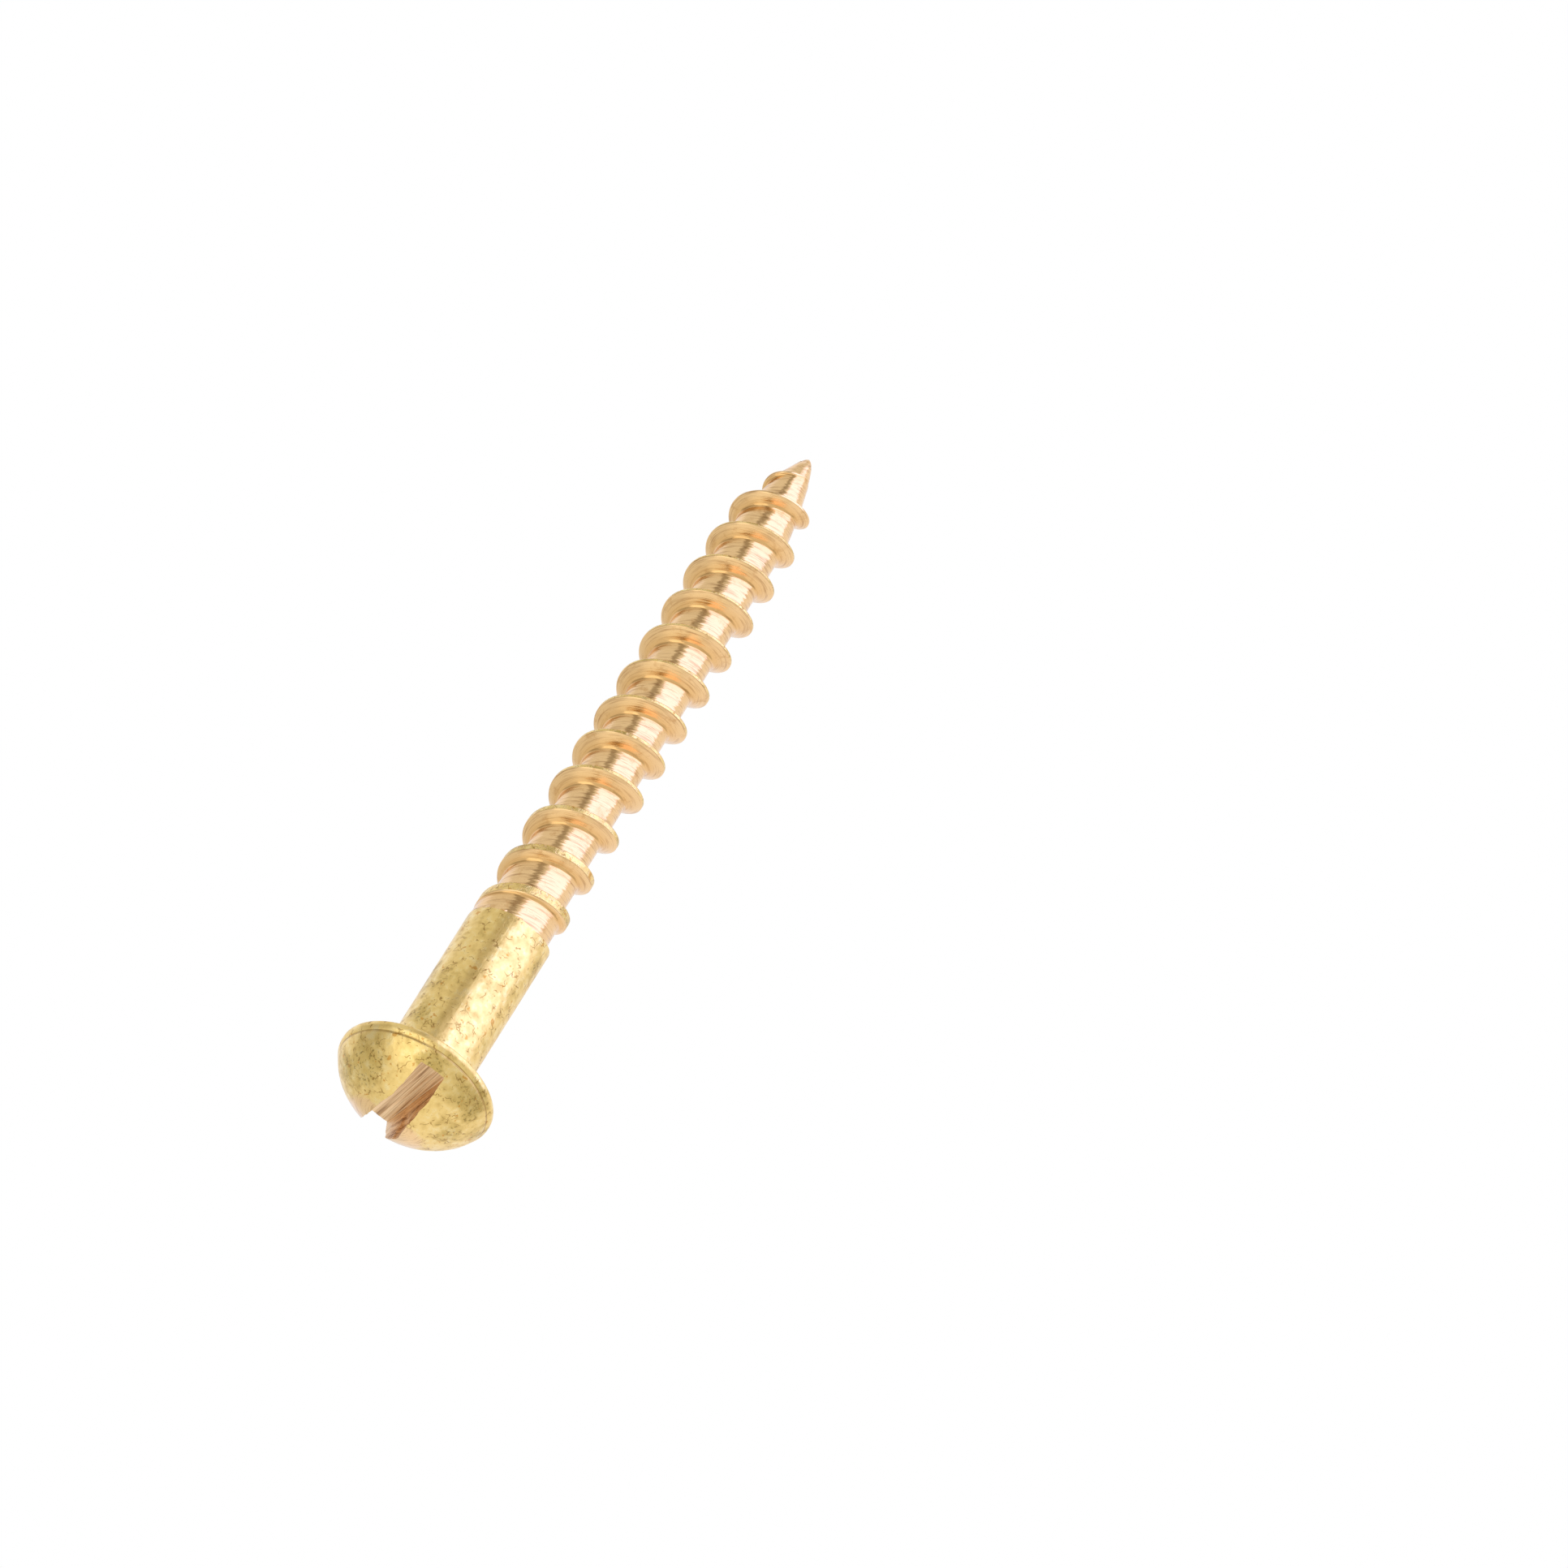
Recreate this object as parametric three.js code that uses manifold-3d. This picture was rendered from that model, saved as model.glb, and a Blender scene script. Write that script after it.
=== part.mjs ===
// Slotted round-head wood screw in solid brass. Millimetres, +Z up.
//
// The screw stands on its axis, head up. The origin is the centre of the head's flat underside, the face
// that pulls down on the work, so the head is above z = 0 and the point is below it. The driver slot runs
// along X. The real screw is one piece of brass: the head is forged from the wire, and the slot, the thread
// and the point are cut into it. So it is one solid here too, made in the same order: blank, thread, slot.
import * as THREE from 'three';
import { mergeVertices } from 'three/addons/utils/BufferGeometryUtils.js';
import Module from 'manifold-3d';

// Head
const HEAD_DIAMETER = 7.54;
const HEAD_HEIGHT = 2.62;
const RIM_HEIGHT = 0.23; // the upright band at the head's edge, below the dome
const RIM_CHAMFER = 0.08;
const DOME_FULLNESS = 1.33; // 1 would be half an ellipse, and more makes the shoulders leaner
const NECK_FILLET = 0.3;

// Driver slot
const SLOT_FLOOR_WIDTH = 1.05;
const SLOT_MOUTH_WIDTH = 1.38; // at the height of the crown: the saw wanders, so the slot opens upwards
const SLOT_FLOOR = 0.72; // height of the slot floor on the screw's axis
const SLOT_SLOPE = 0.135; // the saw leaves the floor a little higher at the +X end
const SLOT_OFFSET = 0.08; // the slot is cut slightly off centre, towards +Y

// Shank
const SHANK_DIAMETER = 4.0;
const SHANK_END = 8.8; // depth below the head where the plain shank starts to narrow
const UNDER_HEAD_LENGTH = 40.0;

// Core of the threaded part: [depth below the head, radius], straight between the points
const CORE = [
  [9.7, 1.74],
  [12.8, 1.5],
  [15.4, 1.38],
  [35.0, 1.33],
  [36.2, 1.18],
  [37.4, 0.97],
  [38.5, 0.75],
  [39.0, 0.54],
  [39.35, 0.41],
  [39.7, 0.26],
  [39.9, 0.13],
];

// Thread: right-handed, one start. Turns are counted down the screw from its +X side. The cam that feeds
// the tool is uneven: each turn is a little shorter than the last, and the third one runs ahead.
const FIRST_TURN = 5.23;
const FIRST_DEPTH = 11.08; // depth of the crest line at the first turn
const FEED = 2.48; // pitch there, in millimetres per turn; the mean over the screw is 2.33
const FEED_LOSS = 0.026; // how much shorter each turn is than the one before
const RUN_AHEAD = 0.28; // how far the crest line is ahead at its most
const RUN_AHEAD_AT = 2.9; // turns past the first
const RUN_AHEAD_SPREAD = 1.1;
const THREAD_START = 8.6; // depth of the first section, hidden in the shank
const THREAD_END = 38.5;
const HEAD_FLANK = 0.62; // axial run of the flank that faces the head, per millimetre of height
const TIP_FLANK = 0.39; // the same for the flank that faces the point
const ROOT_OVERLAP = 0.2; // the ridge is sunk this far into the core before the two are joined

// Crest of the thread: [depth below the head, radius, width of the flat land]
const CREST = [
  [8.6, 1.9, 0.5],
  [10.2, 1.97, 0.48],
  [11.5, 2.02, 0.42],
  [17.5, 2.02, 0.2],
  [31.0, 2.01, 0.14],
  [34.6, 1.93, 0.12],
  [35.8, 1.84, 0.12],
  [36.8, 1.62, 0.12],
  [38.0, 1.08, 0.1],
  [38.5, 0.72, 0.08],
];

const SEGMENTS = 32; // around the screw, and per turn of the thread
const DOME_STEPS = 10;
const FILLET_STEPS = 4;

const HEAD_RADIUS = HEAD_DIAMETER / 2;
const SHANK_RADIUS = SHANK_DIAMETER / 2;

// Value of one column of a table of stations at a depth, straight between the stations.
function at(stations, depth, column) {
  const after = stations.findIndex((station) => station[0] >= depth);
  if (after === 0) return stations[0][column];
  if (after < 0) return stations[stations.length - 1][column];
  const [low, high] = [stations[after - 1], stations[after]];
  const share = (depth - low[0]) / (high[0] - low[0]);
  return THREE.MathUtils.lerp(low[column], high[column], share);
}

// The dome from the top of the rim to the crown, as points of radius and height.
function domeProfile() {
  const points = [];
  for (let i = 0; i <= DOME_STEPS; i += 1) {
    const angle = (i / DOME_STEPS) * (Math.PI / 2);
    const rise = Math.sin(angle) ** DOME_FULLNESS;
    const radius = i === DOME_STEPS ? 0 : HEAD_RADIUS * Math.cos(angle);
    points.push(new THREE.Vector2(radius, RIM_HEIGHT + (HEAD_HEIGHT - RIM_HEIGHT) * rise));
  }
  return points;
}

// The hollow fillet from the shank out to the head's underside.
function neckProfile() {
  const points = [];
  for (let i = 0; i <= FILLET_STEPS; i += 1) {
    const angle = (i / FILLET_STEPS) * (Math.PI / 2);
    const radius = SHANK_RADIUS + NECK_FILLET * (1 - Math.cos(angle));
    points.push(new THREE.Vector2(radius, -NECK_FILLET * (1 - Math.sin(angle))));
  }
  return points;
}

// The whole blank in profile, from the point up to the crown.
function blankProfile() {
  const core = CORE.map(([depth, radius]) => new THREE.Vector2(radius, -depth)).reverse();
  return [
    new THREE.Vector2(0, -UNDER_HEAD_LENGTH),
    ...core,
    new THREE.Vector2(SHANK_RADIUS, -SHANK_END),
    ...neckProfile(),
    new THREE.Vector2(HEAD_RADIUS - RIM_CHAMFER, 0),
    new THREE.Vector2(HEAD_RADIUS, RIM_CHAMFER),
    ...domeProfile(),
  ];
}

// The thread's cross-section at one depth, as [radius, height above the crest line], going round once.
function threadSection(depth) {
  const crest = at(CREST, depth, 1);
  const land = at(CREST, depth, 2) / 2;
  const root = at(CORE, depth, 1) - ROOT_OVERLAP;
  const height = crest - root;
  return [
    [root, -land - TIP_FLANK * height],
    [crest, -land],
    [crest, land],
    [root, land + HEAD_FLANK * height],
  ];
}

// Depth of the crest line after a number of turns.
function crestDepth(turns) {
  const past = turns - FIRST_TURN;
  const ahead = RUN_AHEAD * Math.exp(-(((past - RUN_AHEAD_AT) / RUN_AHEAD_SPREAD) ** 2));
  return FIRST_DEPTH + FEED * past - (FEED_LOSS / 2) * past ** 2 + ahead;
}

// The thread as a closed ridge swept down the helix, with a flat cap at each end.
function threadRidge() {
  let first = 0;
  while (crestDepth(first / SEGMENTS) < THREAD_START) first += 1;
  let last = first;
  while (crestDepth((last + 1) / SEGMENTS) <= THREAD_END) last += 1;
  const corners = threadSection(THREAD_START).length;
  const positions = [];
  const index = [];
  for (let step = first; step <= last; step += 1) {
    const angle = (-step / SEGMENTS) * 2 * Math.PI;
    const crestLine = -crestDepth(step / SEGMENTS);
    for (const [radius, rise] of threadSection(-crestLine)) {
      positions.push(radius * Math.cos(angle), radius * Math.sin(angle), crestLine + rise);
    }
  }
  for (let row = 0; row < last - first; row += 1) {
    for (let k = 0; k < corners; k += 1) {
      const here = row * corners + k;
      const beside = row * corners + ((k + 1) % corners);
      index.push(here, beside, here + corners, beside, beside + corners, here + corners);
    }
  }
  const end = (last - first) * corners;
  index.push(0, 2, 1, 0, 3, 2, end, end + 1, end + 2, end, end + 2, end + 3);
  const geometry = new THREE.BufferGeometry();
  geometry.setAttribute('position', new THREE.Float32BufferAttribute(positions, 3));
  geometry.setIndex(index);
  return geometry;
}

// The block of metal that the slotting saw takes out of the head, narrower at the floor.
function slotCutter() {
  const length = HEAD_DIAMETER * 1.5;
  const height = HEAD_HEIGHT - SLOT_FLOOR;
  const geometry = new THREE.BoxGeometry(length, 1, height * 2);
  geometry.translate(0, 0, height);
  const widening = (SLOT_MOUTH_WIDTH - SLOT_FLOOR_WIDTH) / height;
  const place = geometry.attributes.position;
  for (let i = 0; i < place.count; i += 1) {
    place.setY(i, place.getY(i) * (SLOT_FLOOR_WIDTH + widening * place.getZ(i)));
  }
  geometry.translate(0, SLOT_OFFSET, 0);
  geometry.rotateY(-Math.atan(SLOT_SLOPE));
  geometry.translate(0, 0, SLOT_FLOOR);
  return geometry;
}

const wasm = await Module();
wasm.setup();

// A solid for the boolean library, from a closed geometry.
function toSolid(geometry) {
  geometry.deleteAttribute('normal');
  geometry.deleteAttribute('uv');
  const merged = mergeVertices(geometry, 1e-5);
  const corners = merged.index.array;
  const triangles = [];
  for (let i = 0; i < corners.length; i += 3) {
    const [a, b, c] = [corners[i], corners[i + 1], corners[i + 2]];
    if (a !== b && b !== c && c !== a) triangles.push(a, b, c);
  }
  const vertProperties = new Float32Array(merged.attributes.position.array);
  const triVerts = new Uint32Array(triangles);
  return new wasm.Manifold(new wasm.Mesh({ numProp: 3, vertProperties, triVerts }));
}

// A geometry with flat faces, from a solid.
function toGeometry(solid) {
  const { vertProperties, triVerts } = solid.getMesh();
  const indexed = new THREE.BufferGeometry();
  indexed.setAttribute('position', new THREE.BufferAttribute(vertProperties, 3));
  indexed.setIndex(new THREE.BufferAttribute(triVerts, 1));
  const geometry = indexed.toNonIndexed();
  geometry.computeVertexNormals();
  return geometry;
}

function brassScrew() {
  const blank = new THREE.LatheGeometry(blankProfile(), SEGMENTS);
  blank.rotateX(Math.PI / 2);
  const threaded = toSolid(blank).add(toSolid(threadRidge()));
  const brass = new THREE.MeshStandardMaterial({ color: 0xd9be72, roughness: 0.32, metalness: 1.0 });
  const screw = new THREE.Mesh(toGeometry(threaded.subtract(toSolid(slotCutter()))), brass);
  screw.name = 'screw';
  return screw;
}

const part = new THREE.Group();
part.add(brassScrew());

export default part;
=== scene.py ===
# %% [markdown]
# # A brass wood screw, round head, single slot
# A wood screw is one piece of metal. A length of drawn brass wire is struck to a domed head, a saw
# cuts the slot, and a single-point tool turns the thread and the gimlet point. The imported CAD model
# has that one piece too. It sets the size and the place of everything below, and it stays in the
# physics model. Here it is only a frame that the finished surface is built around.

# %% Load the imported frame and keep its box
import math

import bmesh
import bpy
import numpy as np
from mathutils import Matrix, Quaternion, Vector


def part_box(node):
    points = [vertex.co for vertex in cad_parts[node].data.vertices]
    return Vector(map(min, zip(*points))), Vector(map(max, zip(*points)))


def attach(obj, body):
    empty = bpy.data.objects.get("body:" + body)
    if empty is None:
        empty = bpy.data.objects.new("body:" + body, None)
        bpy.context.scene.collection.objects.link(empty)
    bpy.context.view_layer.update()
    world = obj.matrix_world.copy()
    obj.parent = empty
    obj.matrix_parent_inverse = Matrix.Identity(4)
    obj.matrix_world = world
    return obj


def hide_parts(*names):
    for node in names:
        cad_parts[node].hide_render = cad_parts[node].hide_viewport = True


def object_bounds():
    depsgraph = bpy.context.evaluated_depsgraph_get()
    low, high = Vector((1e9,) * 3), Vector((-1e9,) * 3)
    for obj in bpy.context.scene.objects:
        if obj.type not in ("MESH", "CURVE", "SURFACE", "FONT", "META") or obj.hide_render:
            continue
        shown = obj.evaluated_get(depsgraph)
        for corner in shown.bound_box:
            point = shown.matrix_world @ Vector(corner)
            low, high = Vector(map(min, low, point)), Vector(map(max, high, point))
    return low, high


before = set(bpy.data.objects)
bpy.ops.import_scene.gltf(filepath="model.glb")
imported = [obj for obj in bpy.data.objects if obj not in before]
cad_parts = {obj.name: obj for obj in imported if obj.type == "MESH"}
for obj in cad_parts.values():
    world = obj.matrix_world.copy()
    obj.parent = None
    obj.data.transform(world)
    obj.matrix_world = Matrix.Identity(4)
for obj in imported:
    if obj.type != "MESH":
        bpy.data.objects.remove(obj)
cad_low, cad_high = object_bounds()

MM = 0.001
low, high = (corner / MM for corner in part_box("screw"))
HEAD_RADIUS = (high.x - low.x) / 2
HEAD_HEIGHT = high.z
LENGTH = -low.z
print(f"head {2 * HEAD_RADIUS:.2f} mm across and {HEAD_HEIGHT:.2f} mm high, {LENGTH:.2f} mm under it")

# %% [markdown]
# ## The camera
# Small hardware is shot from far away with a long lens, so that the thread doesn't shrink towards
# the point. The camera stands above the head and looks down along the screw, and it is rolled
# over, so the head comes out low on the left and the point high on the right. Turn, rise, distance
# and roll are easier to read and change than a matrix.

# %% Camera
CAMERA_TURN = 7.4        # degrees from +X towards +Y
CAMERA_RISE = 33.1       # degrees above the underside of the head
CAMERA_DISTANCE = 0.5486
CAMERA_ROLL = -148.34    # degrees
LENS = 287.0             # mm, on a sensor 36 mm wide
AIM_ASIDE = Vector((0.00253, -0.00657, 0.0))   # metres off the screw's axis
AIM_DEPTH = -0.022765    # metres, a little past the middle of the length

scene = bpy.context.scene
turn, rise = math.radians(CAMERA_TURN), math.radians(CAMERA_RISE)
outward = Vector((math.cos(turn) * math.cos(rise), math.sin(turn) * math.cos(rise), math.sin(rise)))
camera_data = bpy.data.cameras.new("long_lens")
camera_data.lens = LENS
camera_data.sensor_width = 36.0
camera = bpy.data.objects.new("long_lens", camera_data)
camera.location = outward * CAMERA_DISTANCE
aim = AIM_ASIDE + Vector((0, 0, AIM_DEPTH))
camera.rotation_mode = "QUATERNION"
upright = (aim - camera.location).to_track_quat("-Z", "Y")
camera.rotation_quaternion = upright @ Quaternion((0, 0, 1), math.radians(CAMERA_ROLL))
scene.collection.objects.link(camera)
scene.camera = camera
scene.view_settings.view_transform = "Standard"
print("camera at", [round(c, 4) for c in camera.location])

# %% [markdown]
# ## Nodes and colours
# Every finish below is a small tree of shader nodes. One helper adds a node, sets its properties
# and fills its sockets with a value or with the output that feeds them. Colours are written as
# screen hex values, and one function turns them into the linear values that shaders add up in.

# %% Helpers for nodes and colours
def linear(hex_colour, alpha=1.0):
    parts = [int(hex_colour[i:i + 2], 16) / 255 for i in (1, 3, 5)]
    parts = [c / 12.92 if c <= 0.04045 else ((c + 0.055) / 1.055) ** 2.4 for c in parts]
    return (*parts, alpha)


def add_node(tree, kind, sockets=None, **settings):
    made = tree.nodes.new("ShaderNode" + kind)
    for name, value in settings.items():
        setattr(made, name, value)
    for key, value in (sockets or {}).items():
        if isinstance(value, bpy.types.NodeSocket):
            tree.links.new(value, made.inputs[key])
        else:
            made.inputs[key].default_value = value
    return made


print("half of full screen value is", round(linear("#808080")[0], 3), "of the light")

# %% [markdown]
# ## Light tent
# Bright metal shows what stands round it more than it shows its own colour. A light tent gives it
# pale walls everywhere, one strong softbox and one narrow dark gap, and those three make the bright
# and dark stripes down a round bar. The world shader paints the tent by direction: azimuth is
# counted from the camera's side and elevation from the horizon. The screw stands upright and is
# seen from above, so most of what its sides mirror lies below the horizon. The camera itself sees
# plain white, because the tent is only for reflections.

# %% Tent, painted by direction
WALL = (0.76, 0.76, 0.76)
# name: (azimuth from, to, elevation from, to, soft edge, colour), in degrees
PANELS = {
    "left_wall": (-179, -84, -90, 60, 20, (0.94, 0.93, 0.98)),
    "right_wall": (105, 179, -90, 0, 20, (0.93, 0.95, 1.08)),
    "ceiling": (-179, 179, 62, 91, 16, (0.95, 0.94, 0.92)),
    "low_left": (-110, -66, -4, 28, 16, (0.62, 0.61, 0.6)),
    "low_right": (62, 112, -18, 26, 16, (0.5, 0.49, 0.47)),
    "key_softbox": (-84, 3, -75, -9, 10, (1.5, 1.55, 2.45)),
    "side_softbox": (12, 60, 8, 62, 14, (1.3, 1.3, 1.3)),
    "dark_gap": (15, 37, -75, 0, 9, (0.4, 0.37, 0.33)),
}

world = bpy.data.worlds.new("light_tent")
world.use_nodes = True
scene.world = world
tree = world.node_tree
tree.nodes.clear()
way = add_node(tree, "SeparateXYZ", {0: add_node(tree, "TexCoord").outputs["Generated"]})
azimuth = add_node(tree, "Math", {0: way.outputs["Y"], 1: way.outputs["X"]}, operation="ARCTAN2")
azimuth = add_node(tree, "Math", {0: azimuth.outputs[0], 1: turn}, operation="SUBTRACT")
azimuth = add_node(
    tree, "Math", {0: azimuth.outputs[0], 1: math.pi, 2: -math.pi}, operation="WRAP"
)
elevation = add_node(tree, "Math", {0: way.outputs["Z"]}, operation="ARCSINE")
tent = add_node(tree, "RGB").outputs[0]
tent.default_value = (*WALL, 1)
for name, (left, right, bottom, top, soft, colour) in PANELS.items():
    inside = None
    for angle, start, end in ((azimuth, left, right), (elevation, bottom, top)):
        for edge, sign in ((start, 1), (end, -1)):
            step = add_node(
                tree, "MapRange",
                {"Value": angle.outputs[0],
                 "From Min": math.radians(edge - sign * soft / 2),
                 "From Max": math.radians(edge + sign * soft / 2)},
                interpolation_type="SMOOTHSTEP",
            ).outputs[0]
            if inside is not None:
                step = add_node(tree, "Math", {0: inside, 1: step}, operation="MULTIPLY").outputs[0]
            inside = step
    tent = add_node(
        tree, "Mix", {0: inside, 6: tent, 7: (*colour, 1)}, data_type="RGBA", label=name
    ).outputs[2]
seen = add_node(tree, "LightPath").outputs["Is Camera Ray"]
tent = add_node(tree, "Mix", {0: seen, 6: tent, 7: (1, 1, 1, 1)}, data_type="RGBA").outputs[2]
backdrop = add_node(tree, "Background", {"Color": tent})
add_node(tree, "OutputWorld", {"Surface": backdrop.outputs[0]})
print(len(PANELS), "panels in the tent")

# %% [markdown]
# ## Floor
# Small hardware is often shot on white acrylic that is lit from below, which leaves no shadow. The
# floor is a plain square with an even glow. In the metal it would be a ninth panel with a hard
# horizon, so it is hidden from reflections.

# %% Floor
FLOOR_HALF = 1.5         # metres, far more than the view takes in
floor_mesh = bpy.data.meshes.new("floor")
corners = [
    (x * FLOOR_HALF, y * FLOOR_HALF, cad_low.z)
    for x, y in ((-1, -1), (1, -1), (1, 1), (-1, 1))
]
floor_mesh.from_pydata(corners, [], [(0, 1, 2, 3)])
floor = bpy.data.objects.new("floor", floor_mesh)
scene.collection.objects.link(floor)
paper = bpy.data.materials.new("white_backlit_acrylic")
paper.use_nodes = True
tree = paper.node_tree
tree.nodes.clear()
glow = add_node(tree, "Emission", {"Color": (1, 1, 1, 1), "Strength": 1.0})
add_node(tree, "OutputMaterial", {"Surface": glow.outputs[0]})
floor_mesh.materials.append(paper)
floor.visible_glossy = False
floor.visible_diffuse = False
floor.visible_shadow = False
print("floor at", round(cad_low.z, 4))

# %% [markdown]
# ## Turned thread
# A single-point tool with a flat nose cuts a groove that winds down the blank, and what it leaves
# between two passes is the thread. So the section is drawn from the groove: floor, flank up to the
# crest, a narrow land of the old wire surface, and a steeper flank down. The first turn is a run-in
# where the groove gets deeper, so the first lands are wide. A Screw modifier could sweep one
# section, but here the section changes all the way, so the points are computed one turn after
# another, always on the helix. Edges then run exactly along the thread.

# %% Thread sizes, in mm
FIRST_TURN = 5.23        # one known point of the ridge, in turns from +X
FIRST_DEPTH = 11.08      # and its depth under the head
FEED = 2.48              # travel per turn where the tool enters
FEED_LOSS = 0.026        # and how much less on each turn, as the cam slows the tool
WIDENING = 0.28          # the feed ran ahead by up to this much
WIDEST = 2.9             # turns past the known point
WIDENED_OVER = 1.1       # turns, either side of that
SHANK_RADIUS = 2.0
HEAD_FLANK = 0.62        # axial run of the flank that faces the head, per mm of height
TIP_FLANK = 0.39
GROOVE_START = 127.0     # degrees from +X; the tool enters the blank here
ROOT_ROUNDING = 0.13     # in the corner between floor and flank, on the side of the head
FAR_ROOT_ROUNDING = 0.1
EDGE_ROUNDING = 0.035
COLUMNS = 160            # points round the screw
TURNS = 17
# turns since the tool entered, core radius
RUN_IN = [(0, 2.0), (0.08, 1.95), (0.33, 1.84), (0.58, 1.72), (1.58, 1.51), (2.58, 1.39),
          (3.5, 1.36), (12, 1.33)]
# depth under the head, core radius
POINT = [(34.5, 2.0), (35.0, 1.34), (36.2, 1.18), (37.4, 0.97), (38.5, 0.75), (39.0, 0.54),
         (39.35, 0.41), (39.7, 0.26), (39.9, 0.13), (40.0, 0.03)]
# depth under the head, crest radius, width of the land
CREST = [(8.6, 2.0, 1.3), (9.8, 1.98, 0.5), (11.5, 2.02, 0.42), (17.5, 2.02, 0.2),
         (31, 2.01, 0.14), (34.6, 1.93, 0.12), (35.8, 1.84, 0.12), (36.8, 1.62, 0.12),
         (38, 1.08, 0.1), (38.5, 0.72, 0.08), (39, 0.4, 0.05), (40, 0.01, 0.03)]
turns = 2 + np.arange(TURNS * COLUMNS) / COLUMNS
tool_enters = 5 - GROOVE_START / 360
print(f"thread runs over {turns[-1] - tool_enters:.1f} turns after the tool enters")


# %% Corners of the section at every step round the screw
def ridge_height(turn_now):
    past = turn_now - FIRST_TURN
    early = WIDENING * np.exp(-((past - WIDEST) / WIDENED_OVER) ** 2)
    return -(FIRST_DEPTH + FEED * past - FEED_LOSS / 2 * past ** 2 + early)


def table(rows, where, column=1):
    return np.interp(where, [row[0] for row in rows], [row[column] for row in rows])


def core(groove_turn, z):
    """Radius of the groove's floor: it deepens in the run-in and narrows towards the point."""
    return np.minimum(table(RUN_IN, groove_turn), table(POINT, -z))


def foot(groove_turn, edge_z, edge_r, run):
    """Where a flank from an edge meets the core. A few rounds settle it where the core tapers."""
    foot_z = edge_z
    for _ in range(4):
        foot_z = edge_z + run * (edge_r - core(groove_turn, foot_z))
    return np.stack([foot_z, core(groove_turn, foot_z)], -1)


def ridge_corners(turn_now):
    z = ridge_height(turn_now)
    since = turn_now - tool_enters
    half_land = table(CREST, -z, 2) / 2
    crest_r = table(CREST, -z)
    head_side, tip_side = z + half_land, z - half_land
    head_edge = np.stack([head_side, np.maximum(crest_r, core(since, head_side))], -1)
    tip_edge = np.stack([tip_side, np.maximum(crest_r, core(since + 1, tip_side))], -1)
    head_root = foot(since, head_edge[..., 0], head_edge[..., 1], HEAD_FLANK)
    tip_root = foot(since + 1, tip_edge[..., 0], tip_edge[..., 1], -TIP_FLANK)
    return head_root, head_edge, tip_edge, tip_root


head_root, head_edge, tip_edge, tip_root = ridge_corners(turns)
last_edge, last_root = ridge_corners(turns - 1)[2:]
next_root = ridge_corners(turns + 1)[0]
half_way = len(turns) // 2
flank = np.linalg.norm(head_root[half_way] - head_edge[half_way])
print(f"half way down, the flank that faces the head is {flank:.2f} mm wide")


# %% Round the corners and fill in the rows
def rounded(before, corner, after, back, steps):
    """A small curve that replaces a corner, and begins and ends that far back from it."""
    ends = []
    for neighbour in (before, after):
        way = neighbour - corner
        length = np.linalg.norm(way, axis=-1, keepdims=True) + 1e-9
        ends.append(corner + way / length * np.minimum(back, 0.45 * length))
    start, end = ends
    return [
        (1 - t) ** 2 * start + 2 * t * (1 - t) * corner + t ** 2 * end
        for t in np.linspace(0, 1, steps)
    ]


def between(start, end, shares):
    return [start * (1 - t) + end * t for t in shares]


start_curve = rounded(last_edge, last_root, head_root, FAR_ROOT_ROUNDING, 5)[-1]
root_curve = rounded(start_curve, head_root, head_edge, ROOT_ROUNDING, 7)
edge_curve = rounded(head_root, head_edge, tip_edge, EDGE_ROUNDING, 4)
far_edge_curve = rounded(head_edge, tip_edge, tip_root, EDGE_ROUNDING, 4)
far_root_curve = rounded(tip_edge, tip_root, next_root, FAR_ROOT_ROUNDING, 5)

# the floor keeps its height above the tapering core, measured at each row's own depth
floor_rows = []
groove_turns = turns - tool_enters
for t in np.linspace(0, 1, 8)[1:-1]:
    row = start_curve * (1 - t) + root_curve[0] * t
    for end, share in ((start_curve, 1 - t), (root_curve[0], t)):
        row[:, 1] -= share * core(groove_turns, end[:, 0])
    row[:, 1] += core(groove_turns, row[:, 0])
    floor_rows.append(row)

rows = [start_curve] + floor_rows + root_curve
rows += between(root_curve[-1], edge_curve[0], (0.2, 0.4, 0.6, 0.8))
rows += edge_curve
land_at = len(rows) - 1   # the land is the last row of one edge, a middle row and the next
rows += [(edge_curve[-1] + far_edge_curve[0]) / 2] + far_edge_curve
rows += between(far_edge_curve[-1], far_root_curve[0], (0.33, 0.67))
rows += far_root_curve
section = np.stack(rows, 1)               # turn step, row, (z, radius)
steps, row_count = section.shape[0], section.shape[1] - 1
print(steps, "steps of", row_count, "rows in the thread")

# %% [markdown]
# ## One closed skin
# The thread points join into strips of quads, and the last row of a turn is the first row of the
# next. Rows above the shank's end are pulled onto one ring, and rows below the point onto another,
# so the helix starts and ends without a hole. Every face corner also carries how much of the wire's
# skin is left there, how deep in the thread's corner it lies, and a map in mm along and across the
# tool's path. The finish reads all three.

# %% Points and rings
RING_TOP = -8.8          # mm, where the plain shank begins
RING_POINT = -39.6       # mm, where the last cone begins
z, radius = section[..., 0], section[..., 1]
theta = -2 * np.pi * turns[:, None] + 0 * z[:, :row_count]
thread_r = radius[:, :row_count]
xyz = [np.stack([thread_r * np.cos(theta), thread_r * np.sin(theta), z[:, :row_count]], -1)]
xyz[0] = xyz[0].reshape(-1, 3)
column_angle = -2 * np.pi * np.arange(COLUMNS) / COLUMNS


def ring(r, height):
    return np.stack([r * np.cos(column_angle), r * np.sin(column_angle), height + 0 * column_angle], -1)


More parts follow.
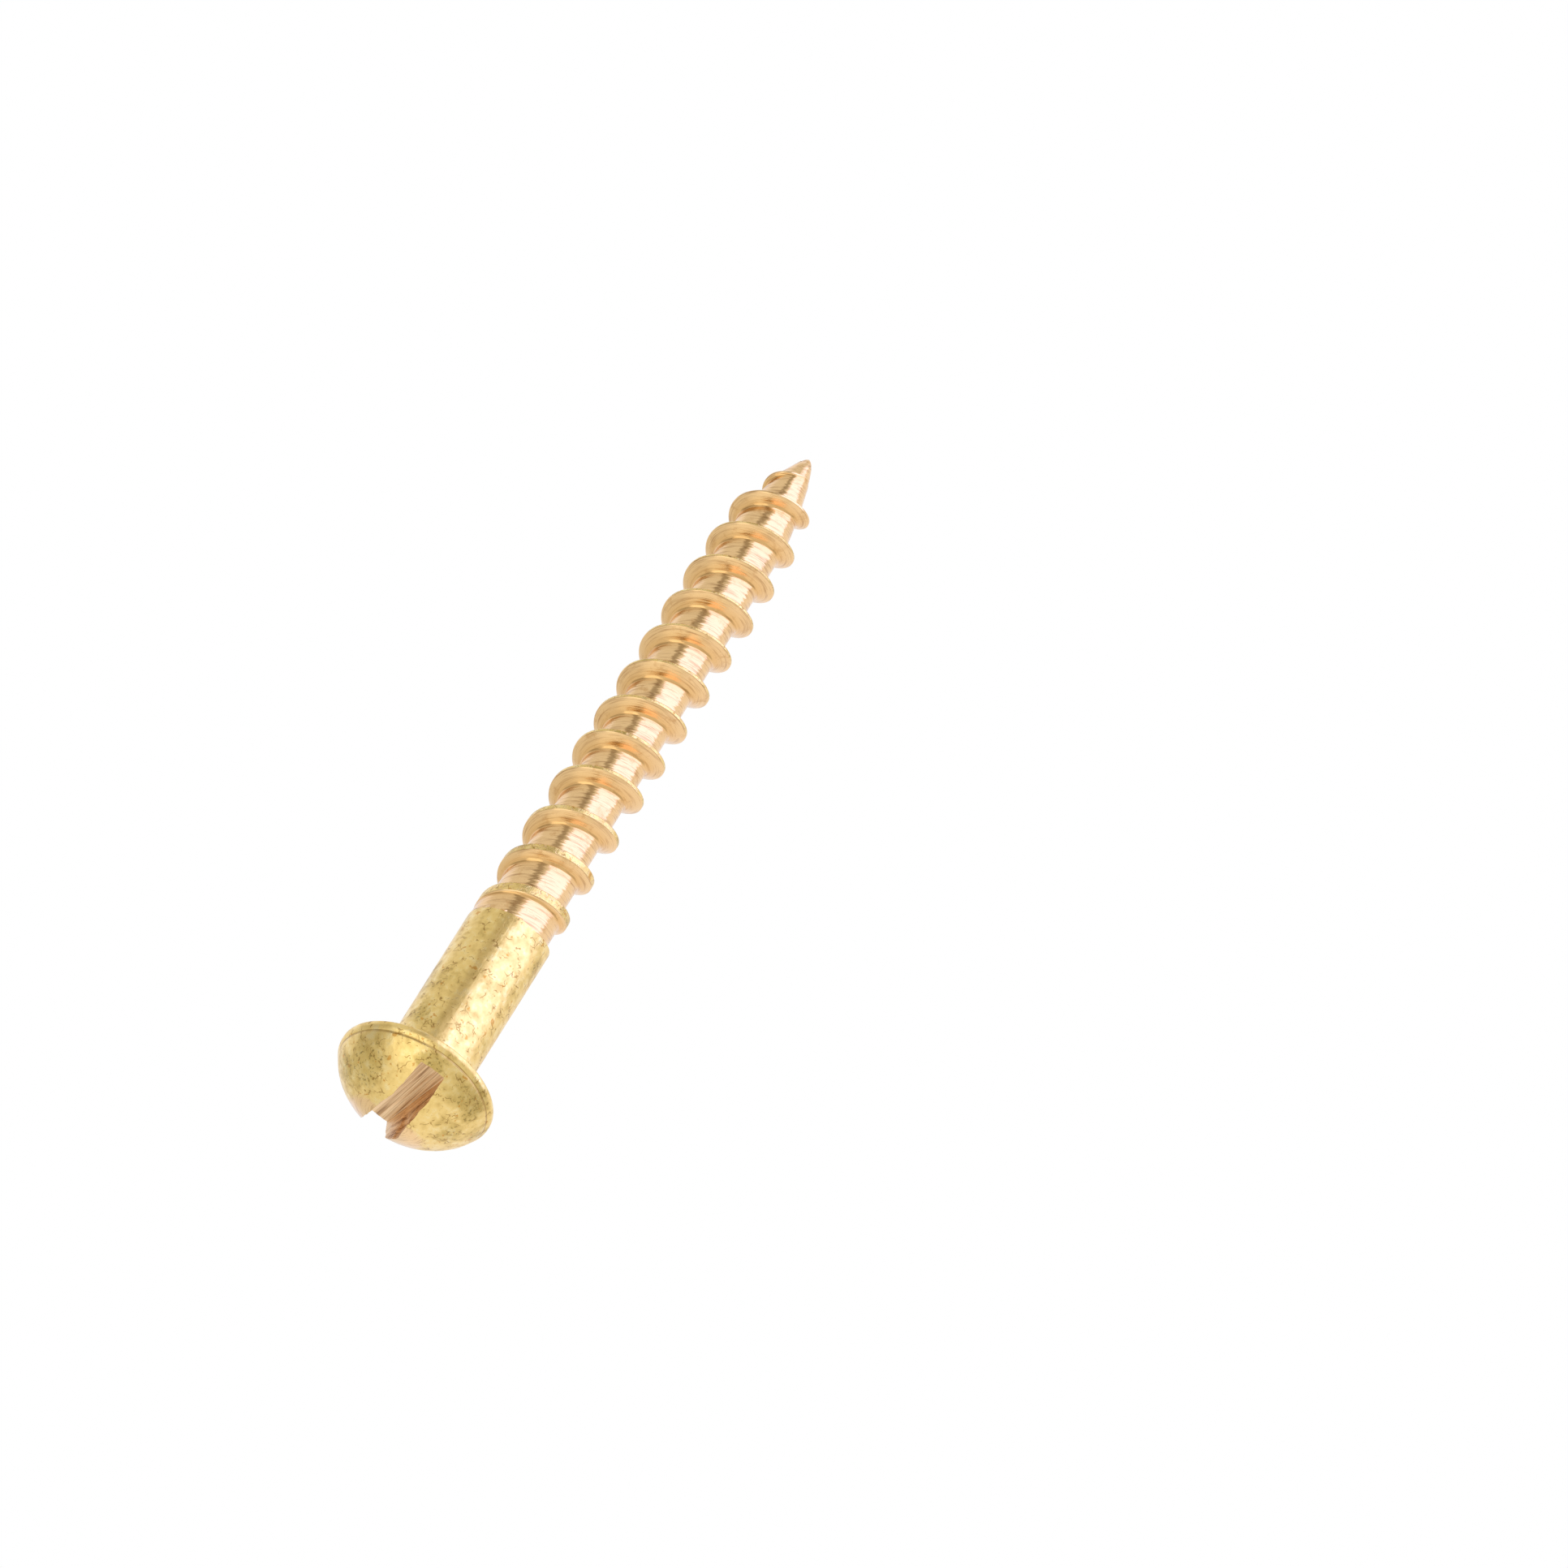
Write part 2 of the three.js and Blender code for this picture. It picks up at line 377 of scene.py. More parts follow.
strip_id = np.arange(steps * row_count).reshape(steps, row_count)
ids = np.full((steps, row_count + 1), -1)
ids[:, :row_count] = strip_id
ids[:-COLUMNS, row_count] = strip_id[COLUMNS:, 0]
column = np.arange(steps) % COLUMNS
top_ring = steps * row_count + np.arange(COLUMNS)
point_ring = top_ring + COLUMNS
ids = np.where(z >= RING_TOP, top_ring[column][:, None], ids)
ids = np.where(z <= RING_POINT, point_ring[column][:, None], ids)
ids[ids < 0] = point_ring[0]
xyz.append(ring(SHANK_RADIUS, RING_TOP))
xyz.append(ring(core(20, RING_POINT), RING_POINT))
print(sum(len(part) for part in xyz), "points before the head")

# %% What each corner of a face carries
MEAN_RADIUS = 1.7        # mm, turns a turn into a length along the path
LAND_SKIN = 0.66         # skin left on the crests of the thread, patchy
LAND_FADES = [(35.0, 1), (36.5, 0)]       # depth, and how much of that is left near the point
FULL_RADIUS = 1.985      # mm; where the blank still has this radius, no tool touched it
UNTOUCHED = -9.6         # mm
# rows from the floor, through the corner, to half way up the flank: how much painted shade and bounce
# light each gets
IN_CORNER = [0, 0, 0, 0, 0, 0.1, 0.3, 0.5, 0.8, 1, 1, 1, 1, 1, 0.8, 0.55, 0.3, 0.1]

row_lengths = np.linalg.norm(np.diff(section, axis=1), axis=2)
across = np.concatenate([np.zeros((steps, 1)), np.cumsum(row_lengths, 1)], 1)
along = turns[:, None] * 2 * np.pi * MEAN_RADIUS + 0 * across
land_row = np.zeros(row_count + 1)
land_row[land_at:land_at + 3] = LAND_SKIN
skin_there = land_row[None, :] * table(LAND_FADES, -z)
skin_there = np.where(radius > FULL_RADIUS, np.maximum(skin_there, z > UNTOUCHED), skin_there)
corner_there = np.zeros(row_count + 1)
corner_there[:len(IN_CORNER)] = IN_CORNER
corner_there = corner_there[None, :] + 0 * z


def quad_corners(values):
    four = [values[:-1, :-1], values[1:, :-1], values[1:, 1:], values[:-1, 1:]]
    return np.stack(four, -1).reshape(-1, 4).tolist()


faces, corner_map, corner_skin, corner_painted_shade = [], [], [], []
for quad, u, v, skin, corner_share in zip(*map(quad_corners, (ids, along, across, skin_there, corner_there))):
    kept = [i for i in range(4) if quad[i] != quad[i - 1]]
    if len(kept) < 3 or len({quad[i] for i in kept}) < len(kept):
        continue          # the face has shrunk to a line on one of the rings
    faces.append([quad[i] for i in kept])
    corner_map += [(u[i], v[i]) for i in kept]
    corner_skin += [skin[i] for i in kept]
    corner_painted_shade += [corner_share[i] for i in kept]
print(len(faces), "faces in the thread")

# %% [markdown]
# ## Point, shank and head
# The point below the thread, the shank, the neck fillet, the flat underside, the rim and the dome
# are plain rings with the same number of points, which a lathe would make in one pass. The rim is
# a little prouder than the dome, because the die pressed the metal out there, and that leaves a
# small step. The point leans a little, as it does when the cutter breaks the last bit off.

# %% Rings of the point
ROUND_SHANK = 12.6       # mm, once round


def join_rings(upper, lower, upper_v, lower_v, skin):
    for i in range(COLUMNS):
        j = (i + 1) % COLUMNS
        faces.append([upper[i], upper[j], lower[j], lower[i]])
        u0, u1 = i / COLUMNS * ROUND_SHANK, (i + 1) / COLUMNS * ROUND_SHANK
        corner_map.extend([(u0, upper_v), (u1, upper_v), (u1, lower_v), (u0, lower_v)])
        corner_skin.extend([skin] * 4)
        corner_painted_shade.extend([0] * 4)


def close_ring(last, middle, upwards, v, skin):
    """A fan of triangles from a ring to one point."""
    for i in range(COLUMNS):
        pair = [last[i], last[(i + 1) % COLUMNS]]
        faces.append([middle, pair[1], pair[0]] if upwards else [*pair, middle])
        corner_map.extend([(0, v)] * 3)
        corner_skin.extend([skin] * 3)
        corner_painted_shade.extend([0] * 3)


# depth, radius
LAST_CONE = [(39.7, 0.265), (39.8, 0.205), (39.88, 0.15), (39.94, 0.09), (LENGTH - 0.01, 0.04)]
next_id = steps * row_count + 2 * COLUMNS
last = point_ring
CONE_V = 0.1             # mm of map across the path, the same on every ring
for depth, r in LAST_CONE:
    xyz.append(ring(r, -depth))
    fresh = np.arange(next_id, next_id + COLUMNS)
    join_rings(last, fresh, 0, CONE_V, 0)
    last = fresh
    next_id += COLUMNS
xyz.append(np.array([[0, 0, -LENGTH]]))
close_ring(last, next_id, False, 0, 0)
next_id += 1
print("point closed at", round(-LENGTH, 2))

# %% Profile of shank and head
RIM_HEIGHT = 0.23        # mm
NECK_FILLET = 0.3        # mm
DOME_STEP = 0.06         # mm, how far the dome stands back from the rim
DOME_FULLNESS = 1.33     # 1 is an ellipse
DOME_FROM = 0.22         # radians up the dome, where it comes out of the rim
RADIAL_GAP = 0.12        # mm, from the flat underside to the head's radius
# inwards from the head's radius, height
RIM = [(0.06, 0.01), (0.02, 0.045), (0, 0.1), (0, 0.2), (0.015, 0.28), (0.045, 0.35),
       (0.085, 0.41), (0.12, 0.45), (0.145, 0.485), (0.148, 0.51)]

profile = [(SHANK_RADIUS, -depth) for depth in np.linspace(8.5, 0.6, 34)]
for angle in np.linspace(0, math.pi / 2, 6):
    inward, drop = 1 - math.cos(angle), 1 - math.sin(angle)
    profile.append((SHANK_RADIUS + NECK_FILLET * inward, -NECK_FILLET * drop))
profile += [(r, 0.0) for r in np.linspace(2.5, HEAD_RADIUS - RADIAL_GAP, 6)]
profile += [(HEAD_RADIUS - inward, height) for inward, height in RIM]
for angle in np.linspace(DOME_FROM, math.pi / 2 - 0.03, 44):
    rise = (HEAD_HEIGHT - RIM_HEIGHT) * math.sin(angle) ** DOME_FULLNESS
    profile.append(((HEAD_RADIUS - DOME_STEP) * math.cos(angle), RIM_HEIGHT + rise))

last = top_ring
before = (SHANK_RADIUS, RING_TOP)
travelled = 0
for r, height in profile:
    step = math.dist(before, (r, height))
    xyz.append(ring(r, height))
    fresh = np.arange(next_id, next_id + COLUMNS)
    join_rings(fresh, last, travelled + step, travelled, 1)
    travelled += step
    before, last = (r, height), fresh
    next_id += COLUMNS
xyz.append(np.array([[0, 0, HEAD_HEIGHT]]))
close_ring(last, next_id, True, travelled, 1)
print(f"{travelled:.1f} mm of profile from the thread to the crown")

# %% Lean of the point, and the mesh
LEAN = 0.07              # mm at the very point
LEAN_FROM = 38.0         # mm of depth
LEAN_OVER = 1.6
points = np.concatenate(xyz)
lean_way = turn - math.pi / 2
lean = np.clip((-points[:, 2] - LEAN_FROM) / LEAN_OVER, 0, 1) ** 2 * LEAN
points[:, 0] += lean * math.cos(lean_way)
points[:, 1] += lean * math.sin(lean_way)
used = np.zeros(len(points), bool)
for face in faces:
    used[face] = True
new_id = np.cumsum(used) - 1
faces = [[int(new_id[i]) for i in face] for face in faces]
points = points[used] * MM

mesh = bpy.data.meshes.new("turned_brass_screw")
mesh.from_pydata(points.tolist(), [], faces)
turning = mesh.uv_layers.new(name="turning")
turning.data.foreach_set("uv", np.array(corner_map, float).ravel())
for name, values in (("wire_skin", corner_skin), ("painted_corner_shade", corner_painted_shade)):
    layer = mesh.attributes.new(name, "FLOAT", "CORNER")
    layer.data.foreach_set("value", np.array(values, float))
screw = bpy.data.objects.new("turned_brass_screw", mesh)
scene.collection.objects.link(screw)
print(len(points), "points,", len(faces), "faces")

# %% [markdown]
# ## Sawn slot
# The slot is sawn after the head is struck. The disc came in at an angle, so the floor runs
# uphill, and it wandered, so the walls aren't parallel and the lips are chipped. A Boolean with a
# clean box would look moulded. Here the cutter is a bar whose outline is stepped by the teeth and
# whose sides lean and wander along the slot. The faces that it leaves take a finish of their own.

# %% Slot sizes, in mm
SLOT_FLOOR = 0.72        # height of the floor on the screw's axis
SLOT_SLOPE = 0.135       # rise of the floor per mm towards +X
# place along the slot, place across it: where each wall meets the floor, and the dome
RIGHT_FOOT = [(-3.8, -0.33), (3.8, -0.57)]
LEFT_FOOT = [(-3.8, 0.80), (3.8, 0.70)]
RIGHT_LIP = [(-2.4, -0.5), (-1.7, -0.6), (-0.9, -0.72), (-0.2, -0.68), (1.0, -0.62), (3.8, -0.6)]
LEFT_LIP = [(-3.8, 0.95), (-1.0, 0.97), (0.2, 1.0), (0.8, 0.88), (1.4, 0.8), (2.2, 0.75),
            (3.8, 0.77)]
FOOT_LIFT = 0.01         # the wall's foot stands this much over the floor
WALL_HEIGHT = 2.2        # past the crown
LIP_AT = 2.4             # the wall reaches the lip's line at 1 / 2.4 of its height
RAGGED = 0.02
WALL_STEP = 0.010        # left by the teeth
FLOOR_STEP = 0.014
REACH = HEAD_RADIUS + 1
stations = np.linspace(-REACH, REACH, 110)
rng = np.random.default_rng(7)


# %% Outline of the saw's path
def wander(x, seed):
    """A ragged edge: a few waves of different length, about 1 high."""
    local = np.random.default_rng(seed)
    total = 0 * x
    for length in (2.9, 1.7, 1.05, 0.62, 0.38, 0.21):
        total = total + length ** 0.6 * np.sin(2 * np.pi * (x / length + local.uniform()))
    return total / 2


floor_z = SLOT_FLOOR + SLOT_SLOPE * stations
lips = {-1: table(RIGHT_LIP, stations), 1: table(LEFT_LIP, stations)}
feet = {-1: table(RIGHT_FOOT, stations), 1: table(LEFT_FOOT, stations)}
ragged_lip = {-1: RAGGED * wander(stations, 3), 1: RAGGED * wander(stations, 5)}
wall_shares = np.linspace(0, 1, 20)
wall_steps = {side: rng.uniform(-1, 1, len(wall_shares)) * WALL_STEP for side in (-1, 1)}
floor_shares = np.linspace(0, 1, 24)[1:-1]
floor_steps = rng.uniform(-1, 1, len(floor_shares)) * FLOOR_STEP


def wall(side, share, step):
    """One line of the wall, from the foot (share 0) to above the lip (share 1)."""
    lean = min(share * LIP_AT, 1.0)
    line = feet[side] + (lips[side] - feet[side]) * lean + ragged_lip[side] * lean + step
    return np.stack([stations, line, floor_z + FOOT_LIFT + WALL_HEIGHT * share], -1)


outline = [wall(-1, share, step) for share, step in zip(wall_shares[::-1], wall_steps[-1])]
for share, step in zip(floor_shares, floor_steps):
    line = feet[-1] + (feet[1] - feet[-1]) * share
    outline.append(np.stack([stations, line, floor_z + step], -1))
outline += [wall(1, share, step) for share, step in zip(wall_shares, wall_steps[1])]
bar = np.stack(outline, 1)
at_floor, at_lips = ((side[1] - side[-1]).mean() for side in (feet, lips))
print(f"slot {at_floor:.2f} mm wide at the floor and {at_lips:.2f} mm at the lips")

# %% The cutter
stations_count, outline_count = bar.shape[:2]
bar_id = np.arange(stations_count * outline_count).reshape(stations_count, outline_count)
bar_faces = []
for here, beyond in zip(bar_id[:-1].tolist(), bar_id[1:].tolist()):
    for j in range(outline_count):
        k = (j + 1) % outline_count
        bar_faces.append([here[j], beyond[j], beyond[k], here[k]])
bar_faces.append(bar_id[0].tolist())
bar_faces.append(bar_id[-1][::-1].tolist())
saw_mesh = bpy.data.meshes.new("saw_path")
saw_mesh.from_pydata((bar.reshape(-1, 3) * MM).tolist(), [], bar_faces)
outwards = bmesh.new()
outwards.from_mesh(saw_mesh)
bmesh.ops.recalc_face_normals(outwards, faces=outwards.faces)
outwards.to_mesh(saw_mesh)
outwards.free()
saw = bpy.data.objects.new("saw_path", saw_mesh)
scene.collection.objects.link(saw)
print(len(bar_faces), "faces on the cutter")

# %% [markdown]
# ## Drawn skin and turned metal
# The screw is one brass, with about a third of zinc, in two states. The head and the shank keep the
# skin of the drawn wire: rolled smooth, yellow, with soft tarnish, small scratches and dark specks.
# Everything that the thread tool cut is fresh metal: pinker, brighter, with fine lines along the
# tool's path. One material shows both, because they are one piece, and a value on the mesh says
# where the skin is left. Its edge is broken up by a noise, since a tool never leaves a clean line.
# To the eye the skin is satin and the cut is close to a mirror. Metallic is 1 and the IOR keeps its
# default, as for any metal, so the colours below are the colours of what it reflects.

# %% Colours of the brass
SKIN = "#FAD98A"         # rolled skin of the wire
STAIN = "#D8B967"        # broad and faint
DULL = "#C6A257"         # cloudy tarnish
CLEAN = "#FFEEB6"        # where handling keeps it bright
OLIVE = "#9A8238"        # old stain round the specks
SPECK = "#78612D"
FRECKLE = "#D29338"
# scratches, and the painted shade line in the step between the rim and the dome
SCRATCH_AND_STEP_SHADE = "#94692B"
FRESH = "#F9D197"        # fresh cut
STROKE = "#A87B50"       # the darker lines that the tool leaves
PAINTED_CORNER_TINT = "#E8AE5A"        # painted shade and gold bounce light in the corner of the thread
OIL_STAIN = "#CE9A5C"
SAWN = "#FFDFB0"
SAW_LINE = "#C99F6C"
DEEP_LINE = "#A67C54"
print("skin reflects", [round(c, 2) for c in linear(SKIN)[:3]])

# %% Brass, turned and drawn: where the skin is left
turned = bpy.data.materials.new("turned_and_drawn_brass")
turned.use_nodes = True
tree = turned.node_tree
tree.nodes.clear()
PER_METRE = (1000, 1000, 1000)            # scales count per mm, so 7 draws waves of 1/7 mm
place = add_node(tree, "TexCoord").outputs["Object"]
mm = add_node(tree, "VectorMath", {0: place, 1: PER_METRE}, operation="MULTIPLY").outputs[0]
where = add_node(tree, "SeparateXYZ", {0: mm})
left = add_node(tree, "Attribute", attribute_name="wire_skin").outputs["Fac"]

# ragged edge of the skin, waves of about 0.15 mm
ragged = add_node(tree, "TexNoise", {"Vector": mm, "Scale": 7.0, "Detail": 3.0, "Roughness": 0.6})
ragged = add_node(
    tree, "MapRange",
    {"Value": ragged.outputs[0], "From Min": 0.3, "From Max": 0.7, "To Min": -0.35, "To Max": 0.35},
)
left = add_node(tree, "Math", {0: left, 1: ragged.outputs[0]}, operation="ADD")
left = add_node(tree, "MapRange", {"Value": left.outputs[0], "From Min": 0.35, "From Max": 0.6})
print(len(tree.nodes), "nodes say where the thread tool left the skin")

# %% Brass, turned and drawn: skin rubbed off the dome
# the saw's clamp rubbed it off both lips, on the half of the dome towards -X
RUB_X = {"From Min": 0.7, "From Max": -0.5}       # mm: none at the first, all at the second
RUB_Y = {"From Min": 2.3, "From Max": 1.1}
RUB_Z = {"From Min": 0.8, "From Max": 1.3}
rubbed = add_node(tree, "MapRange", {"Value": where.outputs["X"], **RUB_X})
aside = add_node(tree, "Math", {0: where.outputs["Y"]}, operation="ABSOLUTE")
aside = add_node(tree, "MapRange", {"Value": aside.outputs[0], **RUB_Y})
on_dome = add_node(tree, "MapRange", {"Value": where.outputs["Z"], **RUB_Z})
rubbed = add_node(
    tree, "Math", {0: rubbed.outputs[0], 1: aside.outputs[0]}, operation="MULTIPLY"
)
rubbed = add_node(tree, "Math", {0: rubbed.outputs[0], 1: on_dome.outputs[0]}, operation="MULTIPLY")
# in patches of 0.8 mm
patchy = add_node(tree, "TexNoise", {"Vector": mm, "Scale": 1.3, "Detail": 5.0, "Roughness": 0.65})
rubbed = add_node(
    tree, "Math", {0: rubbed.outputs[0], 1: patchy.outputs[0]}, operation="MULTIPLY"
)
rubbed = add_node(
    tree, "MapRange",
    {"Value": rubbed.outputs[0], "From Min": 0.14, "From Max": 0.26, "To Max": 0.9},
)
left = add_node(
    tree, "Math", {0: left.outputs[0], 1: rubbed.outputs[0]}, operation="SUBTRACT", use_clamp=True
).outputs[0]
print(len(tree.nodes), "nodes with the rubbed patches")

# %% [markdown]
# ## Tarnish, specks and scratches
# Brass that has been handled and stored goes cloudy: broad faint stains, small clouds of tarnish, a
# few dark specks, and scratches from other screws. An image could hold all that, but noises in
# millimetres stay sharp at any distance and differ on each side of the piece.

# %% Brass: colours of the drawn skin
# broad stains, 2 mm across
stain = add_node(tree, "TexNoise", {"Vector": mm, "Scale": 0.55, "Detail": 3.0, "Roughness": 0.55})
stain = add_node(
    tree, "MapRange",
    {"Value": stain.outputs[0], "From Min": 0.45, "From Max": 0.65, "To Max": 0.5},
)
skin = add_node(
    tree, "Mix", {0: stain.outputs[0], 6: linear(SKIN), 7: linear(STAIN)}, data_type="RGBA"
)
# cloudy tarnish, 0.5 mm across
mottle = add_node(tree, "TexNoise", {"Vector": mm, "Scale": 2.2, "Detail": 5.0, "Roughness": 0.62})
dull = add_node(
    tree, "MapRange",
    {"Value": mottle.outputs[0], "From Min": 0.5, "From Max": 0.7, "To Max": 0.45},
)
skin = add_node(
    tree, "Mix", {0: dull.outputs[0], 6: skin.outputs[2], 7: linear(DULL)}, data_type="RGBA"
)
clean = add_node(
    tree, "MapRange",
    {"Value": mottle.outputs[0], "From Min": 0.47, "From Max": 0.32, "To Max": 0.5},
)
skin = add_node(
    tree, "Mix", {0: clean.outputs[0], 6: skin.outputs[2], 7: linear(CLEAN)}, data_type="RGBA"
)
print(len(tree.nodes), "nodes with the tarnish")

# %% Brass: specks and freckles in the skin
# one old stain on the dome, and specks of about 0.1 mm that gather in it and in a few other places
OLD_STAIN = (1.3, 2.3, 1.7)               # mm
OLIVE_SHARE = 0.22
away = add_node(tree, "VectorMath", {0: mm, 1: OLD_STAIN}, operation="DISTANCE")
away = add_node(
    tree, "MapRange",
    {"Value": away.outputs["Value"], "From Min": 1.5, "From Max": 0.2, "To Max": 0.16},
)
gather = add_node(tree, "TexNoise", {"Vector": mm, "Scale": 0.55, "Detail": 3.0, "Roughness": 0.6})
gather = add_node(tree, "Math", {0: gather.outputs[0], 1: away.outputs[0]}, operation="ADD")
gather = add_node(tree, "MapRange", {"Value": gather.outputs[0], "From Min": 0.52, "From Max": 0.64})
shade = add_node(tree, "Math", {0: gather.outputs[0], 1: OLIVE_SHARE}, operation="MULTIPLY")
skin = add_node(
    tree, "Mix", {0: shade.outputs[0], 6: skin.outputs[2], 7: linear(OLIVE)}, data_type="RGBA"
)
speck = add_node(tree, "TexNoise", {"Vector": mm, "Scale": 6.5, "Detail": 3.0, "Roughness": 0.6})
speck = add_node(
    tree, "MapRange",
    {"Value": speck.outputs[0], "From Min": 0.56, "From Max": 0.63, "To Max": 0.62},
)
speck = add_node(
    tree, "Math", {0: speck.outputs[0], 1: gather.outputs[0]}, operation="MULTIPLY"
)
skin = add_node(
    tree, "Mix", {0: speck.outputs[0], 6: skin.outputs[2], 7: linear(SPECK)}, data_type="RGBA"
)
# orange freckles of 0.3 mm, few and far between
freckle = add_node(tree, "TexNoise", {"Vector": mm, "Scale": 2.9, "Detail": 2.0, "Roughness": 0.5})
freckle = add_node(
    tree, "MapRange",
    {"Value": freckle.outputs[0], "From Min": 0.66, "From Max": 0.7, "To Max": 0.7},
)
skin = add_node(
    tree, "Mix", {0: freckle.outputs[0], 6: skin.outputs[2], 7: linear(FRECKLE)}, data_type="RGBA"
)
print(len(tree.nodes), "nodes with the specks")

# %% Brass: scratches in the skin, and painted shade in the rim's step
# borders of cells about 0.7 mm across, bent by a noise and kept only in pieces of half a millimetre.
# Real ones are a few hundredths of a millimetre wide, and these are twice as wide, so that they show
SCRATCH_EDGES = {"From Min": 0.045, "From Max": 0.015}
SCRATCH_TINT = 0.7
bend = add_node(tree, "TexNoise", {"Vector": mm, "Scale": 1.7, "Detail": 2.0, "Roughness": 0.5})
bend = add_node(
    tree, "VectorMath", {0: bend.outputs["Color"], 1: (1.1, 1.1, 1.1)}, operation="MULTIPLY"
)
bent = add_node(tree, "VectorMath", {0: mm, 1: bend.outputs[0]}, operation="ADD")
border = add_node(
    tree, "TexVoronoi", {"Vector": bent.outputs[0], "Scale": 1.5}, feature="DISTANCE_TO_EDGE"
)
scratch = add_node(tree, "MapRange", {"Value": border.outputs["Distance"], **SCRATCH_EDGES})
short = add_node(tree, "TexNoise", {"Vector": mm, "Scale": 2.1, "Detail": 3.0, "Roughness": 0.6})
short = add_node(tree, "MapRange", {"Value": short.outputs[0], "From Min": 0.5, "From Max": 0.58})
scratch = add_node(
    tree, "Math", {0: scratch.outputs[0], 1: short.outputs[0]}, operation="MULTIPLY"
)
tint = add_node(tree, "Math", {0: scratch.outputs[0], 1: SCRATCH_TINT}, operation="MULTIPLY")
skin = add_node(
    tree, "Mix", {0: tint.outputs[0], 6: skin.outputs[2], 7: linear(SCRATCH_AND_STEP_SHADE)}, data_type="RGBA"
)

# painted shade: a dark, broken line in the small step between the rim and the dome, where the groove
# falls in shade
STEP_AT = 0.5            # mm over the underside of the head
STEP_SPREAD = 0.05
step_height = add_node(
    tree, "Math", {0: where.outputs["Z"], 1: STEP_AT, 2: STEP_SPREAD}, operation="COMPARE"
)
painted_step_shade = add_node(
    tree, "Math", {0: step_height.outputs[0], 1: patchy.outputs[0]}, operation="MULTIPLY"
)
skin = add_node(
    tree, "Mix", {0: painted_step_shade.outputs[0], 6: skin.outputs[2], 7: linear(SCRATCH_AND_STEP_SHADE)}, data_type="RGBA"
)
print(len(tree.nodes), "nodes in the skin")

# %% [markdown]
# ## Lines of the thread tool
# The tool scores the groove with fine lines that follow the thread, and the corner that it leaves gets
# painted shade and painted gold bounce light. The lines have to run along the helix all the way, so
# they are noises on
# the map in mm along and across the tool's path, stretched along it. The finest real lines are a
# few hundredths of a millimetre apart. These are 0.06 and 0.14 mm apart, so that they show.

# %% Brass: lines of the thread tool
STROKES = (0.5, 7.0, 1)                   # waves per mm, along and across the path
FINE_STROKES = (1.1, 17.0, 1)
PAINTED_CORNER_SHARE = 0.45
path = add_node(tree, "UVMap", uv_map="turning").outputs[0]
stroke = add_node(tree, "VectorMath", {0: path, 1: STROKES}, operation="MULTIPLY")
stroke = add_node(
    tree, "TexNoise", {"Vector": stroke.outputs[0], "Scale": 1.0, "Detail": 3.0, "Roughness": 0.6}
)
fine = add_node(tree, "VectorMath", {0: path, 1: FINE_STROKES}, operation="MULTIPLY")
fine = add_node(
    tree, "TexNoise", {"Vector": fine.outputs[0], "Scale": 1.0, "Detail": 2.0, "Roughness": 0.5}
)
lines = add_node(tree, "Mix", {0: 0.3, 2: stroke.outputs[0], 3: fine.outputs[0]})
darker = add_node(
    tree, "MapRange",
    {"Value": lines.outputs[0], "From Min": 0.5, "From Max": 0.66, "To Max": 0.7},
)
cut = add_node(
    tree, "Mix", {0: darker.outputs[0], 6: linear(FRESH), 7: linear(STROKE)}, data_type="RGBA"
)
# painted shade and bounce light: a darker, deeper gold in the corner of the thread, by how deep in it
# each face lies
corner_tint_share = add_node(tree, "Attribute", attribute_name="painted_corner_shade").outputs["Fac"]
corner_tint_share = add_node(tree, "Math", {0: corner_tint_share, 1: PAINTED_CORNER_SHARE}, operation="MULTIPLY")
cut = add_node(
    tree, "Mix", {0: corner_tint_share.outputs[0], 6: cut.outputs[2], 7: linear(PAINTED_CORNER_TINT)}, data_type="RGBA"
)
# stains of oil, 0.7 mm across
grime = add_node(tree, "TexNoise", {"Vector": mm, "Scale": 1.4, "Detail": 5.0, "Roughness": 0.7})
grime = add_node(
    tree, "MapRange",
    {"Value": grime.outputs[0], "From Min": 0.56, "From Max": 0.68, "To Max": 0.5},
)
cut = add_node(
    tree, "Mix", {0: grime.outputs[0], 6: cut.outputs[2], 7: linear(OIL_STAIN)}, data_type="RGBA"
)
colour = add_node(tree, "Mix", {0: left, 6: cut.outputs[2], 7: skin.outputs[2]}, data_type="RGBA")
print(len(tree.nodes), "nodes with both colours")

# %% [markdown]
# ## Gloss and relief
# Clean cut brass has a roughness of about 0.1 and tarnished skin about 0.3, and both vary from place
# to place, which the eye sees as depth. The relief is only some thousandths of a millimetre, so bump
# is enough. The drawing die leaves lines down the shank, and a chattering tool leaves facets.

# %% Brass: gloss and relief of the skin
SKIN_GLOSS = {"To Min": 0.25, "To Max": 0.38}
CUT_GLOSS = {"To Min": 0.1, "To Max": 0.2}
DRAW_LINES = (8, 8, 0.3)                  # waves per mm: 0.12 mm apart, 3 mm long
PEEL_DEPTH = 2.2                          # in units of the relief below
SCRATCH_DEPTH = 0.5
rough_skin = add_node(
    tree, "MapRange",
    {"Value": mottle.outputs[0], "From Min": 0.3, "From Max": 0.7, **SKIN_GLOSS},
)
rough_cut = add_node(
    tree, "MapRange",
    {"Value": lines.outputs[0], "From Min": 0.35, "From Max": 0.65, **CUT_GLOSS},
)
rough = add_node(tree, "Mix", {0: left, 2: rough_cut.outputs[0], 3: rough_skin.outputs[0]})

